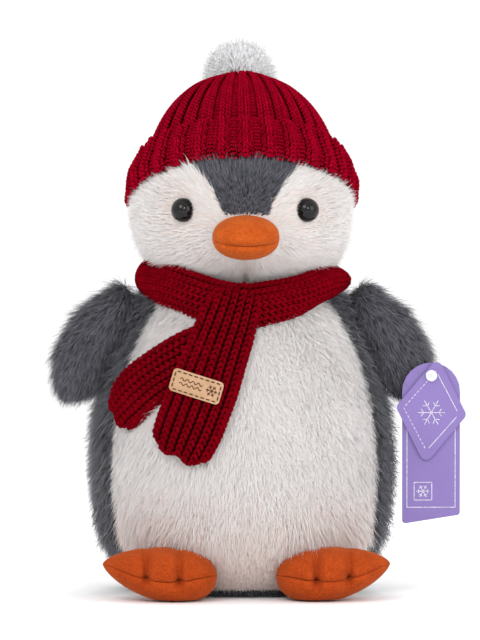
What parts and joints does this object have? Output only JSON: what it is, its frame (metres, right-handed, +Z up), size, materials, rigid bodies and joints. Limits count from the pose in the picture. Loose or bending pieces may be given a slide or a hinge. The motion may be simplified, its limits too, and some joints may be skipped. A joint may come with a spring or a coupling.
{
  "type": "plush penguin",
  "caption": "Sitting plush penguin with furry body, flipper wings, suede feet and beak, a knitted bobble hat and scarf, and a hanging swing tag.",
  "frame": {"origin": "centre of the flat base, on the surface the toy sits on", "axes": "+Z up along the toy's middle line, the face and belly look along -Y, +X is to the right of someone who faces the toy"},
  "size_m": [0.2563, 0.1967, 0.3452],
  "materials": {
    "plush_white": "matte",
    "plush_grey": "matte",
    "fibrefill": "matte",
    "bag_cloth": "matte",
    "eye_black": "gloss",
    "washer_plastic": "satin",
    "suede_orange": "matte",
    "knit_red": "matte",
    "pompom_white": "matte",
    "thread_red": "matte",
    "label_tan": "satin",
    "stitch_brown": "matte",
    "card_purple": "satin",
    "clear_plastic": "gloss"
  },
  "bodies": {
    "body": {"base_panel": "plush_grey", "belly_panel": "plush_white", "back_panel_left": "plush_grey", "back_panel_right": "plush_grey", "body_stuffing": "fibrefill", "pellet_bag": "bag_cloth", "scarf_neck_loop": "knit_red"},
    "head": {"face_panel_left": "plush_white", "face_panel_right": "plush_white", "forehead_panel": "plush_grey", "head_back_left": "plush_grey", "head_back_right": "plush_grey", "head_stuffing": "fibrefill", "eye_left": "eye_black", "eye_right": "eye_black", "eye_washer_left": "washer_plastic", "eye_washer_right": "washer_plastic", "beak_upper": "suede_orange", "beak_lower": "suede_orange", "beak_stuffing": "fibrefill"},
    "hat": {"hat_crown": "knit_red", "hat_cuff": "knit_red", "pompom": "pompom_white", "pompom_tie": "thread_red"},
    "wing_left": {"wing_left_front": "plush_grey", "wing_left_back": "plush_grey", "wing_left_stuffing": "fibrefill"},
    "wing_right": {"wing_right_front": "plush_grey", "wing_right_back": "plush_grey", "wing_right_stuffing": "fibrefill", "tag_fastener": "clear_plastic"},
    "foot_left": {"foot_left_top": "suede_orange", "foot_left_sole": "suede_orange", "foot_left_stuffing": "fibrefill"},
    "foot_right": {"foot_right_top": "suede_orange", "foot_right_sole": "suede_orange", "foot_right_stuffing": "fibrefill"},
    "scarf_front": {"scarf_front_tail": "knit_red", "leather_label": "label_tan", "label_stitches": "stitch_brown"},
    "scarf_back": {"scarf_back_tail": "knit_red"},
    "tag_front": {"tag_front_card": "card_purple"},
    "tag_back": {"tag_back_card": "card_purple"}
  },
  "joints": [
    {"name": "head_turn", "type": "hinge", "parent": "body", "child": "head", "pos_m": [0, 0, 0.243], "axis": [0, 0, 1], "range_deg": [-20, 20], "stiffness_Nm_per_rad": 0.3},
    {"name": "hat_lift", "type": "slide", "parent": "head", "child": "hat", "axis": [0, 0.3907, 0.9205], "range_m": [0, 0.11]},
    {"name": "wing_left_flap", "type": "hinge", "parent": "body", "child": "wing_left", "pos_m": [-0.078, -0.01, 0.175], "axis": [0, 1, 0], "range_deg": [0, 70], "stiffness_Nm_per_rad": 0.05},
    {"name": "wing_right_flap", "type": "hinge", "parent": "body", "child": "wing_right", "pos_m": [0.078, -0.01, 0.175], "axis": [0, -1, 0], "range_deg": [0, 70], "stiffness_Nm_per_rad": 0.05},
    {"name": "foot_left_flex", "type": "hinge", "parent": "body", "child": "foot_left", "pos_m": [-0.05, -0.058, 0.008], "axis": [-1, 0, 0], "range_deg": [0, 8], "stiffness_Nm_per_rad": 0.2},
    {"name": "foot_right_flex", "type": "hinge", "parent": "body", "child": "foot_right", "pos_m": [0.05, -0.058, 0.008], "axis": [-1, 0, 0], "range_deg": [0, 8], "stiffness_Nm_per_rad": 0.2},
    {"name": "scarf_front_lift", "type": "hinge", "parent": "body", "child": "scarf_front", "pos_m": [-0.0118, -0.06798, 0.172], "axis": [-0.9853, 0.171, 0], "range_deg": [0, 60]},
    {"name": "scarf_back_lift", "type": "hinge", "parent": "body", "child": "scarf_back", "pos_m": [-0.04845, -0.06363, 0.146], "axis": [0.3452, 0.2896, 0.8927], "range_deg": [0, 50]},
    {"name": "tag_front_swing", "type": "hinge", "parent": "wing_right", "child": "tag_front", "pos_m": [0.1165, -0.031, 0.1355], "axis": [0, -1, 0], "range_deg": [-7, 75]},
    {"name": "tag_back_swing", "type": "hinge", "parent": "wing_right", "child": "tag_back", "pos_m": [0.1165, -0.029, 0.1355], "axis": [0, -1, 0], "range_deg": [-7, 75]}
  ]
}
